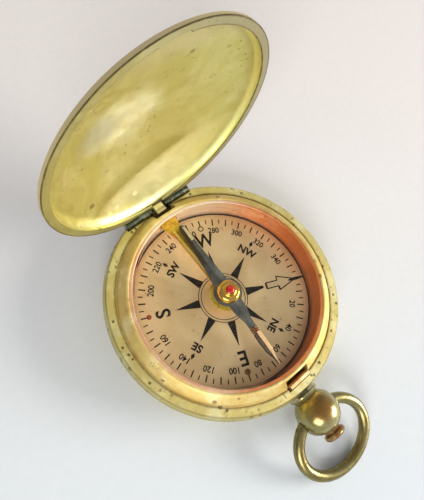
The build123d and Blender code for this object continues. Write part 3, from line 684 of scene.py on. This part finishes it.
def lettering(name, words, reach, weight):
    """Raised letters, one piece: each word stands on the card with its top outwards, within reach."""
    inner, outer = reach
    joined = bmesh.new()
    for text, bearing, squeeze in words:
        curve = bpy.data.curves.new("word", "FONT")
        curve.body = text
        curve.align_x = "CENTER"
        curve.resolution_u = 4
        curve.offset = weight
        word = bpy.data.objects.new("word", curve)
        flat = bpy.data.meshes.new_from_object(word)
        xs = [v.co.x for v in flat.vertices]
        ys = [v.co.y for v in flat.vertices]
        size = (outer - inner) * DIAL_UNIT / (max(ys) - min(ys))
        shift = Matrix.Translation((-(min(xs) + max(xs)) / 2, -(min(ys) + max(ys)) / 2, 0))
        middle = spot(bearing, (inner + outer) / 2)
        flat.transform(Matrix.Translation((middle.x * MM, middle.y * MM, PRINT_TOP * MM))
                       @ Matrix.Rotation(azimuth(bearing) - pi / 2, 4, "Z")
                       @ Matrix.Diagonal((size * squeeze * MM, size * MM, MM, 1)) @ shift)
        joined.from_mesh(flat)
        bpy.data.objects.remove(word)
        bpy.data.curves.remove(curve)
        bpy.data.meshes.remove(flat)
    bmesh.ops.remove_doubles(joined, verts=joined.verts, dist=1e-9)
    pushed = bmesh.ops.extrude_face_region(joined, geom=joined.faces[:])
    for v in [g for g in pushed["geom"] if isinstance(g, bmesh.types.BMVert)]:
        v.co.z = PRINT_BOTTOM * MM
    bmesh.ops.recalc_face_normals(joined, faces=joined.faces)
    finished(name, joined, ink, "case")


ink = print_ink("dial_ink", tint(24, 17, 12), tint(64, 48, 36))

ticks = []
for bearing in range(5, 360, 5):
    long = bearing % 10 == 0
    ticks.append(stroke(spot(bearing, TICK_EVERY_10 if long else TICK_EVERY_5), spot(bearing, 1.0),
                        0.27 if long else 0.22))
plates("dial_ticks", ticks, ink)
plates("dial_edge", band(*EDGE_LINE, 160), ink)
plates("dial_rings", [quad for inner, outer in STAR_RINGS
                      for quad in band(inner * DIAL_UNIT, outer * DIAL_UNIT)], ink)

arms = [[spot(0, STAR_ROOT, -STAR_HALF), spot(0, STAR_STUB, -STAR_HALF * 0.3),
         spot(0, STAR_STUB, STAR_HALF * 0.3), spot(0, STAR_ROOT, STAR_HALF)]]
for bearing in range(45, 360, 45):
    arms.append([spot(bearing, STAR_ROOT, -STAR_HALF), spot(bearing, STAR_TIP),
                 spot(bearing, STAR_ROOT, STAR_HALF)])
plates("dial_star", arms, ink)

# The north arrow: its outline, its solid tip, and heavier lines at its tail and in one shoulder.
outline = [spot(0, 0.565, -0.62), spot(0, 0.72, -0.62), spot(0, 0.72, -1.5), spot(0, 0.93, -0.14),
           spot(0, 0.93, 0.14), spot(0, 0.72, 1.5), spot(0, 0.72, 0.62), spot(0, 0.565, 0.62)]
arrow = [stroke(a, b, 0.24) for a, b in zip(outline, outline[1:] + outline[:1])]
arrow.append([spot(0, 0.86, -0.12), spot(0, 0.95, -0.36), spot(0, 1.07, -0.16), spot(0, 1.07, 0.16),
              spot(0, 0.95, 0.36), spot(0, 0.86, 0.12)])
arrow.append(stroke(outline[0], outline[7], 0.42))
arrow.append(stroke(outline[6], outline[5], 0.40))
plates("dial_north_arrow", arrow, ink)

near, middle, far = DIAMOND
plates("dial_diamonds", [[spot(bearing, near), spot(bearing, middle, -DIAMOND_HALF), spot(bearing, far),
                          spot(bearing, middle, DIAMOND_HALF)] for bearing in (45, 135, 225, 315)], ink)

lettering("dial_numbers", [(str(n), n, 0.92) for n in range(20, 360, 20) if n != 180],
          NUMBER_BAND, LETTER_WEIGHT)
lettering("dial_letters", [("E", 90, 0.95), ("S", 180, 0.95), ("W", 270, 0.9)], LETTER_BAND, LETTER_WEIGHT)
lettering("dial_small_letters", [("NE", 45, 1.0), ("SE", 135, 1.0), ("SW", 225, 1.0), ("NW", 315, 1.0)],
          SMALL_LETTER_BAND, SMALL_LETTER_WEIGHT)

brown_dot = print_ink("dot_brown", tint(132, 84, 48), tint(160, 112, 72))
red_dot = print_ink("dot_red", tint(150, 66, 46), tint(172, 96, 70))
plates("dial_dot_east", [around(spot(90, 0.895), 0.62, 32)], brown_dot)
plates("dial_dot_south", [around(spot(180, 0.905), 0.5, 32)], red_dot)
plates("dial_dot_west", band(0.4, 0.6, 24, spot(270, 0.895)), ink)


# ---------------------------------------------------------------- floor, lamps and surroundings
FLOOR_HALF = 1.2
FLOOR_GAP = 0.00002  # between the floor and the case's back
LAMP_TARGET = Vector((0, 0, 0.005))
LAMP_UP = Vector((0.02, 0.01, 1))
SKY_BRIGHT_SIDE = (0.42, -0.72, 0.25)
SKY_DARK, SKY_BRIGHT = (0.46, 0.47, 0.50, 1.0), (0.98, 0.97, 0.95, 1.0)
SKY_STRENGTH = 0.71


def lamp(name, place, size, power, colour):
    """A soft rectangular lamp aimed at the dial."""
    data = bpy.data.lights.new(name, "AREA")
    data.shape = "RECTANGLE"
    data.size, data.size_y = size
    data.energy = power
    data.color = colour
    thing = bpy.data.objects.new(name, data)
    scene.collection.objects.link(thing)
    aimed(thing, Vector(place), LAMP_TARGET, LAMP_UP)


floor_mesh = bpy.data.meshes.new("floor")
floor_mesh.from_pydata([(-FLOOR_HALF, -FLOOR_HALF, 0), (FLOOR_HALF, -FLOOR_HALF, 0),
                        (FLOOR_HALF, FLOOR_HALF, 0), (-FLOOR_HALF, FLOOR_HALF, 0)], [], [(0, 1, 2, 3)])
floor = bpy.data.objects.new("floor", floor_mesh)
floor.location.z = min(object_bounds()[0].z, 0.0) - FLOOR_GAP
scene.collection.objects.link(floor)
floor_mesh.materials.append(floor_paper())

world = bpy.data.worlds.new("studio")
scene.world = world
world.use_nodes = True
sky = world.node_tree
direction = sky.nodes.new("ShaderNodeTexCoord").outputs["Generated"]
toward = sky.nodes.new("ShaderNodeVectorMath")
toward.operation = "DOT_PRODUCT"
toward.inputs[1].default_value = SKY_BRIGHT_SIDE
sky.links.new(direction, toward.inputs[0])
fade = sky.nodes.new("ShaderNodeValToRGB")
for stop, position, colour in zip(fade.color_ramp.elements, (0.0, 0.8), (SKY_DARK, SKY_BRIGHT)):
    stop.position = position
    stop.color = colour
sky.links.new(toward.outputs["Value"], fade.inputs[0])
sky.links.new(fade.outputs[0], sky.nodes["Background"].inputs["Color"])
sky.nodes["Background"].inputs["Strength"].default_value = SKY_STRENGTH

lamp("key", (0.46, -0.40, 0.25), (0.34, 0.20), 4.6, (1.0, 0.985, 0.955))
lamp("fill", (-0.40, -0.30, 0.34), (0.36, 0.30), 2.6, (0.96, 0.98, 1.0))
